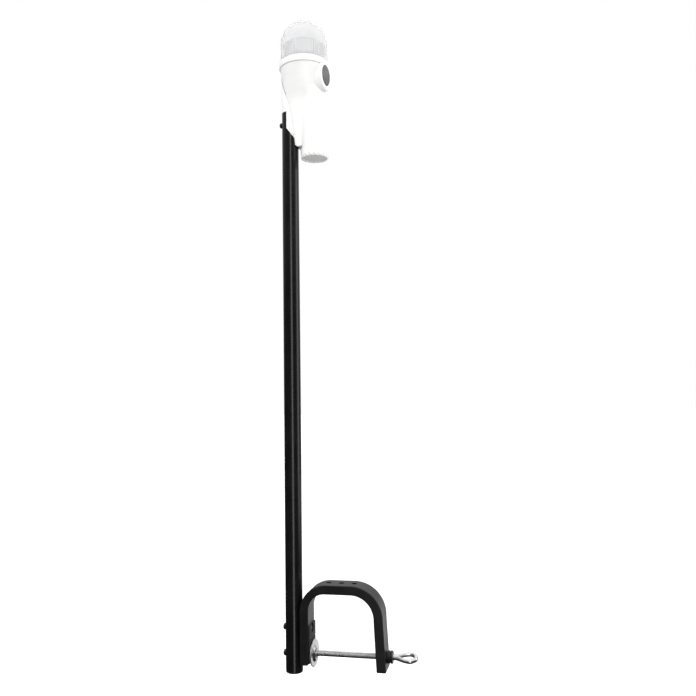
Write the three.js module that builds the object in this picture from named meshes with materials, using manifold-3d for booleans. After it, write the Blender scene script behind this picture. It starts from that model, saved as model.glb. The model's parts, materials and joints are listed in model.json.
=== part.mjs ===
// Portable stern navigation light: a battery light head on a pole, held by a C-clamp.
// Millimetres, +Z up along the pole, +X from the pole towards the clamp screw's eye.
// Every piece is laid out from the foot of the pole, on the pole's axis. The finished group is then
// moved so that the origin is on the fixed jaw's face, above the groove across its pad.

import * as THREE from 'three';
import { mergeVertices } from 'three/addons/utils/BufferGeometryUtils.js';
import Module from 'manifold-3d';

const wasm = await Module();
wasm.setup();

// ---------------------------------------------------------------- driving dimensions

const GAP = 0.3; // clearance left between pieces that touch
const ROUND = 32; // sides on a large round piece
const SMALL = 14; // sides on a small round piece

const POLE_R = 9.525; // 3/4 in tube
const POLE_WALL = 1.25;
const POLE_TOP = 632.5;
const POLE_BORE = POLE_R - POLE_WALL;
const FOOT_FLANGE = 2; // end plug's flange, under the pole

const CLAMP_WIDTH = 27.7;
const LEG_OUTER_X = POLE_R + 0.325;
const LEG_INNER_X = 19.45;
const JAW_PAD = 1.2;
const JAW_FACE_X = LEG_INNER_X + GAP + JAW_PAD;
const JAW_FACE_Z = 40.3;
const PAD_GROOVE = { low: 36.6, high: 37.6, depth: 0.5 };
const LEG_BOTTOM = 11.3;
const FAR_LEG_BOTTOM = 8;
const BRIDGE_TOP = 97.4;
const BRIDGE_UNDER = 87.5;
const BRIDGE_HOLES = { first: 40.1, pitch: 14.2, count: 3, radius: 3.1 };

const SCREW_Z = 21.3;
const SCREW_R = 3.175; // 1/4 in thread
const DISC_R = 14.7;
const DISC_X = 22.2; // the movable jaw's contact plane with the clamp closed and the disc upright
const DISC_PIVOT_X = 24.7;
const DISC_TURN = THREE.MathUtils.degToRad(-4.5); // the disc rests turned about an upright axis
const EYE_START = 112.5;
const EYE_END = 137.4;
const EYE_WIDTH = 18;
const EYE_ROD_R = 2.35;
const EYE_TWIST = THREE.MathUtils.degToRad(-11); // the loop's plane, from horizontal

const BOLT = { heights: [20.3, 48.4], shank: 2, headRadius: 3.6, headHeight: 2.3, nutRadius: 4.04 };

const HEAD_X = 17.3; // axis of the lens and its collar
const BARREL_X = 29.1; // axis of the battery barrel
const BARREL_R = 15;
const BARREL_BORE = 12.2;
const BARREL_BOTTOM = 588;
const NECK_R = 13.6;
const NECK_BOTTOM = 580.2;
const BULKHEAD_UNDER = 640;
const RIM_Z = 682.7; // top of the housing's outer wall
const SPIGOT = { radius: 25.9, bottom: 681.7, top: 685 }; // stands up inside the collar

const CAP_R = 16.05;
const CAP_BOTTOM = 576.5;
const CAP_TOP = 587.7;
const CAP_SCALLOPS = 18;

const COLLAR_R = 28.8;
const COLLAR_TOP = 690.6;
const LENS_R = 27.3;
const LENS_BOTTOM = 686.2;
const LENS_SPRING = 713; // where the dome starts
const LENS_APEX = 740.8;
const LENS_WALL = 2;
const PRISM = { inner: 23, outer: 24.4, top: 711 };

const BUTTON_TURN = THREE.MathUtils.degToRad(18); // the button's heading, from +X towards -Y
const BUTTON_Z = 670.3;
// Half widths and half heights, and distances from the lens's axis. The bezel's back is sunk in the
// shell, and the button's flange stops against the bezel's seat.
const BEZEL = { width: 11.2, height: 17.6, back: 19, seat: 24.5, face: 30.4 };
const BUTTON = { width: 8, height: 11.7, back: 23, face: 31.5 };

const BATTERY = { radius: 5.25, length: 44.5, bottom: 583.8 }; // AAA cells
const CELL_CIRCLE = 6.45; // radius of the circle through the three cells' axes

// The pole's top is cut away in front of a tongue: (x, z) down the cut's edge.
const TONGUE_CUT = [[-2.4, 612.5], [7.2, 600.3], [7.8, 594.3], [10.5, 590.6]];
const REVEAL = 2.2; // strip of the saddle's core left bare along the cut
const SHELF_Z = 592.2; // where the housing's front rests over the pole's cut edge
const HEAD_SCREW_Z = 619.3;

// Sections of the housing's shell below the collar: height, centre x, half length, half width,
// and the superellipse exponent, which squares the section off towards the pole.
const SHELL = [
  { z: 683, x: 17.3, a: 27.7, b: 27.7, n: 2 },
  { z: 665, x: 17.1, a: 24.9, b: 20.8, n: 2.1 },
  { z: 645, x: 16.9, a: 20.9, b: 13.2, n: 2.6 },
  { z: 622, x: 18, a: 18, b: 9.9, n: 3.2 },
  { z: 591, x: 19.3, a: 14.5, b: 7.6, n: 3.2 },
];

// ---------------------------------------------------------------- finishes

const finish = (color, roughness, metalness = 0) => () =>
  new THREE.MeshStandardMaterial({ color, roughness, metalness });

const blackTube = finish(0x141416, 0.28, 0.3);
const blackCast = finish(0x1b1b1d, 0.5, 0.2);
const blackPlastic = finish(0x1d1d1f, 0.45);
const whitePlastic = finish(0xf3f3f1, 0.35);
const clearPlastic = finish(0xe6eaec, 0.08);
const buttonRubber = finish(0x56565a, 0.6);
const sealRubber = finish(0x2a2a2c, 0.8);
const stainless = finish(0xb9bcbf, 0.22, 1);
const nickel = finish(0xa9a698, 0.3, 1);
const boardGreen = finish(0x1f5a3a, 0.5);
const ledYellow = finish(0xe8cf57, 0.4);
const cellSleeve = finish(0x3b4a63, 0.35);
const wireRed = finish(0xa32018, 0.5);
const wireBlack = finish(0x161616, 0.5);

// ---------------------------------------------------------------- solids

/** A closed geometry as a solid, turned the right way out. */
function solid(geometry) {
  const bare = geometry.clone();
  for (const name of Object.keys(bare.attributes)) {
    if (name !== 'position') bare.deleteAttribute(name);
  }
  const merged = mergeVertices(bare, 1e-4);
  const corners = merged.attributes.position.array;
  const faces = [];
  for (let i = 0; i < merged.index.count; i += 3) {
    const [a, b, c] = [merged.index.getX(i), merged.index.getX(i + 1), merged.index.getX(i + 2)];
    if (a !== b && b !== c && c !== a) faces.push(a, b, c);
  }
  const build = (triangles) =>
    new wasm.Manifold(new wasm.Mesh({
      numProp: 3,
      vertProperties: new Float32Array(corners),
      triVerts: new Uint32Array(triangles),
    }));
  const first = build(faces);
  if (first.volume() > 0) return first;
  for (let i = 0; i < faces.length; i += 3) [faces[i], faces[i + 1]] = [faces[i + 1], faces[i]];
  return build(faces);
}

const join = (first, ...rest) => rest.reduce((sum, next) => sum.add(next), first);
const cut = (first, ...rest) => rest.reduce((left, next) => left.subtract(next), first);

/** An upright cylinder from low to high. */
function post(radius, low, high, x = 0, y = 0, sides = ROUND) {
  const geometry = new THREE.CylinderGeometry(radius, radius, high - low, sides);
  geometry.rotateX(Math.PI / 2);
  geometry.translate(x, y, (low + high) / 2);
  return solid(geometry);
}

/** A cylinder along X from left to right. */
function bar(radius, left, right, z, y = 0, sides = SMALL) {
  const geometry = new THREE.CylinderGeometry(radius, radius, right - left, sides);
  geometry.rotateZ(Math.PI / 2);
  geometry.rotateX(Math.PI / sides);
  geometry.translate((left + right) / 2, y, z);
  return solid(geometry);
}

/** A body turned about an upright axis from (radius, height) points. */
function turned(profile, x = 0, y = 0, sides = ROUND) {
  const geometry = new THREE.LatheGeometry(profile.map(([r, z]) => new THREE.Vector2(r, z)), sides);
  geometry.rotateX(Math.PI / 2);
  geometry.translate(x, y, 0);
  return solid(geometry);
}

/** A body turned about a line along X at height z, from (radius, x) points. */
function turnedAlongX(profile, z, sides = ROUND) {
  const geometry = new THREE.LatheGeometry(profile.map(([r, x]) => new THREE.Vector2(r, x)), sides);
  geometry.rotateZ(-Math.PI / 2);
  geometry.translate(0, 0, z);
  return solid(geometry);
}

/** A closed ring's profile for turned(): inner and outer radius, low and high. */
const ring = (inner, outer, low, high) =>
  [[inner, low], [outer, low], [outer, high], [inner, high], [inner, low]];

/** A shape drawn in X and Z, pushed out along Y to both sides of the middle. */
function slab(shape, width, bevel = 0, curveSegments = 9) {
  const geometry = new THREE.ExtrudeGeometry(shape, {
    depth: width - 2 * bevel,
    bevelEnabled: bevel > 0,
    bevelSize: bevel,
    bevelThickness: bevel,
    bevelOffset: -bevel,
    bevelSegments: 1,
    curveSegments,
  });
  geometry.translate(0, 0, bevel - width / 2);
  geometry.rotateX(Math.PI / 2);
  return solid(geometry);
}

const outline = (points) => new THREE.Shape(points.map(([x, y]) => new THREE.Vector2(x, y)));

/** A round rod along a smooth open path. */
function rod(points, radius, steps, sides = 8) {
  const path = new THREE.CatmullRomCurve3(
    points.map((p) => new THREE.Vector3(...p)), false, 'catmullrom', 0.5);
  const section = new THREE.Shape().absarc(0, 0, radius, 0, 2 * Math.PI);
  return solid(new THREE.ExtrudeGeometry(section, {
    steps, extrudePath: path, bevelEnabled: false, curveSegments: sides / 2,
  }));
}

/** A helical spring about an upright axis, its radius going from one end's to the other's. */
function coilSpring(x, y, low, high, radiusLow, radiusHigh, wire, turns) {
  const points = [];
  const perTurn = 8;
  for (let i = 0; i <= turns * perTurn; i += 1) {
    const t = i / (turns * perTurn);
    const angle = 2 * Math.PI * turns * t;
    const radius = THREE.MathUtils.lerp(radiusLow, radiusHigh, t);
    const z = THREE.MathUtils.lerp(low + wire, high - wire, t);
    points.push([x + radius * Math.cos(angle), y + radius * Math.sin(angle), z]);
  }
  return rod(points, wire, turns * 10, 6);
}

/** A closed body through superellipse sections, smooth from one to the next. */
function loft(sections, steps = 10) {
  const centres = new THREE.CatmullRomCurve3(
    sections.map((s) => new THREE.Vector3(s.z, s.x, s.n)), false, 'catmullrom', 0.5);
  const halves = new THREE.CatmullRomCurve3(
    sections.map((s) => new THREE.Vector3(s.z, s.a, s.b)), false, 'catmullrom', 0.5);
  const corners = [];
  const faces = [];
  for (let i = 0; i <= steps; i += 1) {
    const { x: z, y: x, z: n } = centres.getPoint(i / steps);
    const { y: a, z: b } = halves.getPoint(i / steps);
    for (let k = 0; k < ROUND; k += 1) {
      const c = Math.cos((2 * Math.PI * k) / ROUND);
      const s = Math.sin((2 * Math.PI * k) / ROUND);
      corners.push(
        x + a * Math.sign(c) * Math.abs(c) ** (2 / n),
        b * Math.sign(s) * Math.abs(s) ** (2 / n),
        z);
    }
  }
  for (let i = 0; i < steps; i += 1) {
    for (let k = 0; k < ROUND; k += 1) {
      const [p, q] = [i * ROUND + k, i * ROUND + ((k + 1) % ROUND)];
      faces.push(p, q, q + ROUND, p, q + ROUND, p + ROUND);
    }
  }
  for (let k = 1; k < ROUND - 1; k += 1) {
    const last = steps * ROUND;
    faces.push(0, k + 1, k, last, last + k, last + k + 1);
  }
  const geometry = new THREE.BufferGeometry();
  geometry.setAttribute('position', new THREE.Float32BufferAttribute(corners, 3));
  geometry.setIndex(faces);
  return solid(geometry);
}

// ---------------------------------------------------------------- the assembly

const light = new THREE.Group();
const fromFoot = new THREE.Group(); // everything is placed from the pole's foot
fromFoot.position.set(-JAW_FACE_X, 0, -JAW_FACE_Z);
light.add(fromFoot);

/** Adds a solid to the light as a named mesh. */
function piece(name, body, material, parent = fromFoot) {
  const { vertProperties, triVerts, numProp } = body.getMesh();
  const corners = [];
  for (let i = 0; i < vertProperties.length; i += numProp) {
    corners.push(vertProperties[i], vertProperties[i + 1], vertProperties[i + 2]);
  }
  const geometry = new THREE.BufferGeometry();
  geometry.setAttribute('position', new THREE.Float32BufferAttribute(corners, 3));
  geometry.setIndex(Array.from(triVerts));
  geometry.computeVertexNormals();
  const mesh = new THREE.Mesh(geometry, material());
  mesh.name = name;
  parent.add(mesh);
}

// ---- pole

/** All that stands in front of the cut's edge, moved up and forward by a clearance. */
function inFrontOfCut(clearance) {
  const edge = TONGUE_CUT.map(([x, z]) => [x + clearance, z + clearance]);
  return slab(outline([[edge[0][0], 700], ...edge, [60, edge[edge.length - 1][1]], [60, 700]]), 80);
}

const screwHoleInPole = bar(1.9, -14, 8, HEAD_SCREW_Z);
const boltHoles = BOLT.heights.map((z) => bar(BOLT.shank + GAP, -14, 40, z));

piece('pole_tube', cut(
  turned(ring(POLE_BORE, POLE_R, FOOT_FLANGE + GAP, POLE_TOP)),
  inFrontOfCut(0), screwHoleInPole, ...boltHoles), blackTube);

piece('pole_end_plug', turned([
  [0, 0], [POLE_R - 0.9, 0], [POLE_R - 0.1, 0.8], [POLE_R - 0.1, FOOT_FLANGE],
  [POLE_BORE - GAP, FOOT_FLANGE], [POLE_BORE - GAP, 13], [POLE_BORE - 1.6, 13.6],
  [POLE_BORE - 1.6, 4], [0, 4]]), blackPlastic);

// ---- clamp

/** The clamp's outline: a short leg on the pole, a bridge and a longer leg, splayed outwards. */
function clampOutline() {
  const nearOuter = BRIDGE_TOP - 29.85;
  const nearInner = BRIDGE_UNDER - 18.1;
  const farOuter = BRIDGE_TOP - 34.7;
  const farInner = BRIDGE_UNDER - 25.2;
  const splay = THREE.MathUtils.degToRad(2.4);
  const shape = new THREE.Shape();
  shape.moveTo(LEG_OUTER_X + 1.5, LEG_BOTTOM);
  shape.lineTo(LEG_OUTER_X, LEG_BOTTOM + 1.5);
  shape.absarc(LEG_OUTER_X + 29.85, nearOuter, 29.85, Math.PI, Math.PI / 2, true);
  shape.absarc(67, farOuter, 34.7, Math.PI / 2, -splay, true);
  shape.lineTo(104.4, FAR_LEG_BOTTOM + 1);
  shape.lineTo(103.4, FAR_LEG_BOTTOM);
  shape.lineTo(94.7, FAR_LEG_BOTTOM);
  shape.lineTo(93.9, FAR_LEG_BOTTOM + 0.8);
  shape.absarc(66.4, farInner, 25.2, -splay, Math.PI / 2, false);
  shape.absarc(LEG_INNER_X + 18.1, nearInner, 18.1, Math.PI / 2, Math.PI, false);
  shape.lineTo(LEG_INNER_X, LEG_BOTTOM + 1.5);
  shape.lineTo(LEG_INNER_X - 1.5, LEG_BOTTOM);
  return shape;
}

const hexPocket = (z) => bar(BOLT.nutRadius + 0.35, 15.7, LEG_INNER_X + 1, z, 0, 6);
const bridgeHoles = Array.from({ length: BRIDGE_HOLES.count }, (_, i) =>
  post(BRIDGE_HOLES.radius, 80, 105, BRIDGE_HOLES.first + i * BRIDGE_HOLES.pitch, 0, SMALL));

piece('clamp_frame', cut(
  slab(clampOutline(), CLAMP_WIDTH, 0.9),
  ...boltHoles, ...BOLT.heights.map(hexPocket), ...bridgeHoles,
  bar(5.3, 85, 110, SCREW_Z, 0, ROUND / 2)), blackCast);

const padOutline = outline([
  [LEG_INNER_X + GAP, LEG_BOTTOM + 1.5], [JAW_FACE_X, LEG_BOTTOM + 2.1],
  [JAW_FACE_X, PAD_GROOVE.low], [JAW_FACE_X - PAD_GROOVE.depth, PAD_GROOVE.low],
  [JAW_FACE_X - PAD_GROOVE.depth, PAD_GROOVE.high], [JAW_FACE_X, PAD_GROOVE.high],
  [JAW_FACE_X, 52.6], [LEG_INNER_X + GAP, 53.2]]);
piece('clamp_face_pad', cut(
  slab(padOutline, CLAMP_WIDTH - 1.8),
  ...BOLT.heights.map((z) => bar(4.9, 15, 25, z, 0, ROUND / 2))), sealRubber);

BOLT.heights.forEach((z, i) => {
  const where = i === 0 ? 'lower' : 'upper';
  const head = -POLE_R - GAP;
  piece(`pole_bolt_${where}`, cut(
    turnedAlongX([
      [0, head - BOLT.headHeight], [BOLT.headRadius * 0.6, head - BOLT.headHeight],
      [BOLT.headRadius * 0.92, head - BOLT.headHeight * 0.7], [BOLT.headRadius, head - 0.5],
      [BOLT.headRadius, head], [BOLT.shank, head], [BOLT.shank, 20.1], [0, 20.1]], z, SMALL),
    slab(outline([[-13, z - 0.5], [-11, z - 0.5], [-11, z + 0.5], [-13, z + 0.5]]), 3.6)), stainless);
  piece(`pole_nut_${where}`, cut(
    bar(BOLT.nutRadius, 16, 19.2, z, 0, 6), bar(BOLT.shank + GAP, 10, 25, z)), stainless);
});

piece('thread_bushing', turnedAlongX([
  [SCREW_R + GAP, 93.9], [5, 93.9], [5, 104.45], [6.8, 104.45], [6.8, 106.6], [6.1, 106.9],
  [6.1, 107.6], [6.8, 107.9], [6.8, 109.8], [6.2, 110.3], [SCREW_R + GAP, 110.3],
  [SCREW_R + GAP, 93.9]], SCREW_Z, 24), blackPlastic);

/** The screw's eye: one rod bent into a long loop, both ends in the neck. */
function eyeLoop() {
  const reach = EYE_WIDTH / 2 - EYE_ROD_R;
  const length = EYE_END - EYE_ROD_R - EYE_START;
  const half = [[-2, 0.9], [0.12 * length, 2], [0.45 * length, reach * 0.82],
    [0.74 * length, reach], [0.94 * length, reach * 0.55]];
  const loop = [...half, [length, 0], ...half.map(([u, v]) => [u, -v]).reverse()];
  return rod(loop.map(([u, v]) => [
    EYE_START + u, v * Math.cos(EYE_TWIST), SCREW_Z - v * Math.sin(EYE_TWIST),
  ]), EYE_ROD_R, 26, 10);
}

piece('clamp_screw', join(
  turnedAlongX([
    [0, 22.6], [4.2, 22.6], [4.8, 22.9], [4.8, 23.4], [4.5, 23.7], [SCREW_R, 23.7],
    [SCREW_R, EYE_START - 1], [2.7, EYE_START + 1.5], [2.2, EYE_START + 3.5], [0, EYE_START + 3.5],
  ], SCREW_Z, 24),
  eyeLoop()), stainless);

const discMount = new THREE.Group();
discMount.position.x = DISC_PIVOT_X;
discMount.rotation.z = DISC_TURN;
fromFoot.add(discMount);
piece('swivel_pad', turnedAlongX([
  [3.9, 24.1], [5.9, 24.1], [8.8, DISC_X + 0.2], [10, DISC_X], [DISC_R - 0.5, DISC_X],
  [DISC_R, DISC_X + 0.4], [DISC_R, DISC_X + 1], [DISC_R - 0.5, DISC_X + 1.3],
  [9.2, DISC_X + 1.35], [6.3, 25.3], [3.9, 25.3], [3.9, 24.1],
].map(([r, x]) => [r, x - DISC_PIVOT_X]), SCREW_Z), stainless, discMount);

piece('pad_retainer', turnedAlongX([
  [SCREW_R + GAP, 25.75], [5.2, 25.75], [5.2, 26.75], [SCREW_R + GAP, 26.75],
  [SCREW_R + GAP, 25.75]], SCREW_Z, 24), stainless);

// ---- head: saddle and housing

const headScrewHole = bar(1.6, -14, 4, HEAD_SCREW_Z);
const barrel = join(
  post(BARREL_R, BARREL_BOTTOM, 680, BARREL_X),
  post(NECK_R, NECK_BOTTOM, BARREL_BOTTOM + 1, BARREL_X));
const shellAndBarrel = join(loft(SHELL), barrel);

/** An oval drawn across the button's heading, pushed out from one distance to another. */
function ovalBlock(width, height, from, to, bevel = 0) {
  const shape = new THREE.Shape().absellipse(0, 0, width, height, 0, 2 * Math.PI);
  const geometry = new THREE.ExtrudeGeometry(shape, {
    depth: to - from - 2 * bevel,
    bevelEnabled: bevel > 0,
    bevelSize: bevel,
    bevelThickness: bevel,
    bevelOffset: -bevel,
    bevelSegments: 2,
    curveSegments: 12,
  });
  const heading = new THREE.Vector3(Math.cos(BUTTON_TURN), -Math.sin(BUTTON_TURN), 0);
  const across = new THREE.Vector3(Math.sin(BUTTON_TURN), Math.cos(BUTTON_TURN), 0);
  const up = new THREE.Vector3(0, 0, 1);
  geometry.applyMatrix4(new THREE.Matrix4().makeBasis(across, up, heading));
  geometry.translate(
    HEAD_X + heading.x * (from + bevel), heading.y * (from + bevel), BUTTON_Z);
  return solid(geometry);
}

const cavity = loft([
  { z: 646, x: 17.5, a: 17.5, b: 10.2, n: 2.4 },
  { z: 664, x: 17.2, a: 22.2, b: 18, n: 2.1 },
  { z: 686, x: HEAD_X, a: 23.9, b: 23.9, n: 2 },
], 6);
piece('head_housing', cut(
  join(
    cut(shellAndBarrel,
      post(POLE_R + 2, 580, SHELF_Z + 0.2),
      ovalBlock(BEZEL.width + GAP, BEZEL.height + GAP, BEZEL.back - GAP, 40)),
    turned(ring(22, SPIGOT.radius, SPIGOT.bottom, SPIGOT.top), HEAD_X)),
  cavity,
  post(BARREL_BORE, NECK_BOTTOM - 1, BULKHEAD_UNDER, BARREL_X),
  post(1.4, BULKHEAD_UNDER - 1, 660, BARREL_X - 5, 3, SMALL),
  post(1.4, BULKHEAD_UNDER - 1, 660, BARREL_X - 5, -3, SMALL),
  ovalBlock(BUTTON.width + 2.2, BUTTON.height + 2.2, 14, 40),
  post(POLE_R + GAP, 560, SHELF_Z),
  cut(post(POLE_R + GAP, 560, 700), inFrontOfCut(GAP)),
  headScrewHole), whitePlastic);

// The saddle is what the pole's cut leaves open, up to the collar, and a core down inside the pole.
const saddleBody = join(
  cut(post(POLE_R - 0.35, 585, RIM_Z - GAP), post(40, 585, SHELF_Z + 0.2, 45)),
  post(POLE_R + 0.35, 600, RIM_Z - GAP));
const insidePole = cut(post(POLE_BORE - GAP, 585, 640), inFrontOfCut(0));
const outsidePole = join(inFrontOfCut(GAP), post(20, POLE_TOP + GAP, 700));
const bareStrip = cut(
  turned(ring(POLE_R - 0.35, 14, 580, 700)),
  slab(outline([[-20, 656], [-3.5, 636.5], [-2.4 + REVEAL, 634], [-2.4 + REVEAL, 613.6],
    [14, 593.2], [14, 705], [-20, 705]]), 60));
piece('mount_saddle', cut(
  join(insidePole, cut(saddleBody.intersect(outsidePole), bareStrip)),
  loft(SHELL.map((s) => ({ ...s, a: s.a + GAP, b: s.b + GAP }))),
  post(BARREL_R + GAP, 570, 690, BARREL_X),
  headScrewHole), whitePlastic);

piece('head_screw', turnedAlongX([
  [0, -12.5], [1.9, -12.4], [2.9, -11.6], [3.1, -10.4], [3.1, -POLE_R - GAP], [1.3, -POLE_R - GAP],
  [1.3, 2], [0, 3.2]], HEAD_SCREW_Z, SMALL), stainless);

// ---- head: button and switch

piece('button_bezel', cut(
  ovalBlock(BEZEL.width, BEZEL.height, BEZEL.back, BEZEL.face, 0.9),
  ovalBlock(BUTTON.width + GAP, BUTTON.height + GAP, BEZEL.back - 2, BEZEL.face + 2),
  ovalBlock(BUTTON.width + 1.9, BUTTON.height + 1.9, BEZEL.back - 2, BEZEL.seat),
  post(SPIGOT.radius + GAP, SPIGOT.bottom - GAP, 700, HEAD_X),
  post(COLLAR_R + GAP, RIM_Z, 700, HEAD_X)), whitePlastic);
piece('button', join(
  ovalBlock(BUTTON.width, BUTTON.height, BUTTON.back, BUTTON.face, 1.6),
  ovalBlock(BUTTON.width + 1.6, BUTTON.height + 1.6, BUTTON.back, BEZEL.seat - GAP),
  ovalBlock(2, 2, BUTTON.back - 1.6, BUTTON.back + 1)), buttonRubber);
piece('tact_switch', join(
  ovalBlock(3.2, 3.2, 16, 18.6),
  ovalBlock(1.6, 1.6, 18, 20)), blackPlastic);
piece('switch_board', ovalBlock(8, 11.5, 14, 15.7), boardGreen);

// ---- head: battery compartment

piece('battery_carrier', join(
  turned([[0, BATTERY.bottom - 2.3], [11.8, BATTERY.bottom - 2.3], [11.8, BATTERY.bottom - GAP],
    [0, BATTERY.bottom - GAP]], BARREL_X, 0, 32),
  turned([[0, BATTERY.bottom + BATTERY.length + GAP],
    [11.8, BATTERY.bottom + BATTERY.length + GAP], [11.8, BATTERY.bottom + BATTERY.length + 2.3],
    [0, BATTERY.bottom + BATTERY.length + 2.3]], BARREL_X, 0, 32),
  ...[60, 180, 300].map((degrees) => {
    const angle = THREE.MathUtils.degToRad(degrees);
    return post(1.4, BATTERY.bottom - 1, BATTERY.bottom + BATTERY.length + 1,
      BARREL_X + 10.2 * Math.cos(angle), 10.2 * Math.sin(angle), 8);
  })), blackPlastic);

for (let i = 0; i < 3; i += 1) {
  const angle = (2 * Math.PI * i) / 3;
  const top = BATTERY.bottom + BATTERY.length;
  const [foot, shoulder] = i % 2 === 0 ? [BATTERY.bottom, top] : [top, BATTERY.bottom];
  const up = Math.sign(shoulder - foot);
  piece(`battery_${i + 1}`, turned([
    [0, foot], [BATTERY.radius, foot], [BATTERY.radius, shoulder - up * 0.9],
    [1.9, shoulder - up * 0.9], [1.9, shoulder], [0, shoulder]],
  BARREL_X + CELL_CIRCLE * Math.cos(angle), CELL_CIRCLE * Math.sin(angle), 16), cellSleeve);
}

const carrierTop = BATTERY.bottom + BATTERY.length + 2.3;
piece('top_contact_spring', coilSpring(
  BARREL_X, 0, carrierTop + GAP, BULKHEAD_UNDER - 1.6, 2, 4.6, 0.35, 3), nickel);
piece('top_contact_plate', post(
  9, BULKHEAD_UNDER - 1.2, BULKHEAD_UNDER - GAP, BARREL_X, 0, 24), nickel);

// ---- battery cap

const scallops = Array.from({ length: CAP_SCALLOPS }, (_, i) => {
  const angle = (2 * Math.PI * i) / CAP_SCALLOPS;
  return post(1.9, CAP_BOTTOM - 1, CAP_BOTTOM + 2.6,
    BARREL_X + 17.1 * Math.cos(angle), 17.1 * Math.sin(angle), 10);
});
piece('battery_cap', cut(
  turned([
    [0, CAP_BOTTOM + 0.8], [13, CAP_BOTTOM + 0.8], [13.6, CAP_BOTTOM], [CAP_R - 0.6, CAP_BOTTOM],
    [CAP_R, CAP_BOTTOM + 0.6], [CAP_R, CAP_TOP - 0.4], [CAP_R - 0.4, CAP_TOP], [15.3, CAP_TOP],
    [15.3, CAP_TOP - 2.3], [NECK_R + 0.35, CAP_TOP - 2.3], [NECK_R + 0.35, CAP_BOTTOM + 2.9],
    [0, CAP_BOTTOM + 2.9]], BARREL_X),
  ...scallops), whitePlastic);
piece('cap_oring', turned([
  [14, CAP_TOP - 1.9], [14.9, CAP_TOP - 1.9], [15, CAP_TOP - 1], [14.9, CAP_TOP - 0.1],
  [14, CAP_TOP - 0.1], [13.95, CAP_TOP - 1], [14, CAP_TOP - 1.9]], BARREL_X), sealRubber);
piece('cap_contact_plate', turned([
  [0, 579.7], [9.5, 579.7], [9.5, 580.2], [3, 580.2], [2.6, 581.1], [0, 581.1]],
BARREL_X, 0, 24), nickel);

// ---- lens and lamp

piece('lens_collar', turned([
  [26.2, RIM_Z + GAP], [28.2, RIM_Z + GAP], [COLLAR_R, RIM_Z + 0.9], [COLLAR_R, COLLAR_TOP - 0.7],
  [28.2, COLLAR_TOP], [LENS_R + GAP, COLLAR_TOP], [LENS_R + GAP, 684.4], [26.2, 684.4],
  [26.2, RIM_Z + GAP]], HEAD_X), whitePlastic);
piece('lens_gasket', turned(ring(26.2, 27.3, 684.7, 685.9), HEAD_X), sealRubber);

/** The lens: a short round wall with an elliptical dome on it. */
function lensProfile() {
  const dome = (radius, apex, from, to, count) => Array.from({ length: count + 1 }, (_, i) => {
    const angle = THREE.MathUtils.lerp(from, to, i / count);
    return [radius * Math.cos(angle), LENS_SPRING + (apex - LENS_SPRING) * Math.sin(angle)];
  });
  return [
    [0, LENS_APEX - LENS_WALL],
    ...dome(LENS_R - LENS_WALL, LENS_APEX - LENS_WALL, Math.PI / 2, 0, 6).slice(1),
    [LENS_R - LENS_WALL, LENS_BOTTOM], [LENS_R, LENS_BOTTOM],
    ...dome(LENS_R, LENS_APEX, 0, Math.PI / 2, 6).slice(0, -1),
    [0, LENS_APEX]];
}
piece('lens_dome', turned(lensProfile(), HEAD_X), clearPlastic);
piece('prism_ring', turned(ring(PRISM.inner, PRISM.outer, 687.6, PRISM.top), HEAD_X), clearPlastic);
piece('reflector_plate', cut(
  turned([[0, 685.6], [24.9, 685.6], [24.9, 687.2], [0, 687.2]], HEAD_X),
  post(1.6, 680, 690, HEAD_X - 12, 3, SMALL), post(1.6, 680, 690, HEAD_X - 12, -3, SMALL)),
whitePlastic);
piece('led_board', post(9.5, 687.5, 689.1, HEAD_X, 0, 32), boardGreen);
piece('led_emitter', turned([
  [0, 689.4], [3, 689.4], [3, 690.4], [2.4, 691.4], [1.3, 692.2], [0, 692.5]],
HEAD_X, 0, SMALL), ledYellow);
piece('light_optic', turned([
  [3.5, 689.4], [5.2, 689.4], [9.6, 702.6], [9.6, 703.6], [0, 694.4], [0, 693.4], [3.2, 693],
  [3.5, 689.4]], HEAD_X, 0, 32), clearPlastic);

// ---- leads from the battery contact to the lamp, inside the housing

for (const [name, side, material] of [['lead_positive', 1, wireRed], ['lead_negative', -1, wireBlack]]) {
  piece(name, rod([
    [BARREL_X - 5, 3 * side, 642.6], [BARREL_X - 5.6, 3.4 * side, 650], [18, 5 * side, 660],
    [9, 5.6 * side, 670], [5.6, 4 * side, 679], [HEAD_X - 12, 3 * side, 684],
    [HEAD_X - 12, 3 * side, 690], [HEAD_X - 11, 3 * side, 691.4],
  ], 0.7, 18, 6), material);
}

export default light;
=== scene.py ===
import json
import math

import bmesh
import bpy
import numpy as np
from mathutils import Matrix, Vector


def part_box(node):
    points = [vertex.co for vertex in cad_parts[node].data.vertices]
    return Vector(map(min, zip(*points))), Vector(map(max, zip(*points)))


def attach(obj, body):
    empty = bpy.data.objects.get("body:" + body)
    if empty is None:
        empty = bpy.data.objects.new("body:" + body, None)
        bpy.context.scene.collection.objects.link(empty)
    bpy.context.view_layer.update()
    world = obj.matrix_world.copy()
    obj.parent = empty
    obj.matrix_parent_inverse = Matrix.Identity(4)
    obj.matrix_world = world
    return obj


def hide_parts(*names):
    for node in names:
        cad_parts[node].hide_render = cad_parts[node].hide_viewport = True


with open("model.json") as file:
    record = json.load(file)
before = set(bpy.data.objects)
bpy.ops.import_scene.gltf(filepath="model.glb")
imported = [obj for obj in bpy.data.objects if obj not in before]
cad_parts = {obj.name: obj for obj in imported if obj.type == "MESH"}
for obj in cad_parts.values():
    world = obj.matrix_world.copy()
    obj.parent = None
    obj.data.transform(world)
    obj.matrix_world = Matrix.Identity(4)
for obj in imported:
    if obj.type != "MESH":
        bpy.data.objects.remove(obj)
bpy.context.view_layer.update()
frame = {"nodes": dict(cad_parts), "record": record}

MM = 0.001

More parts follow.
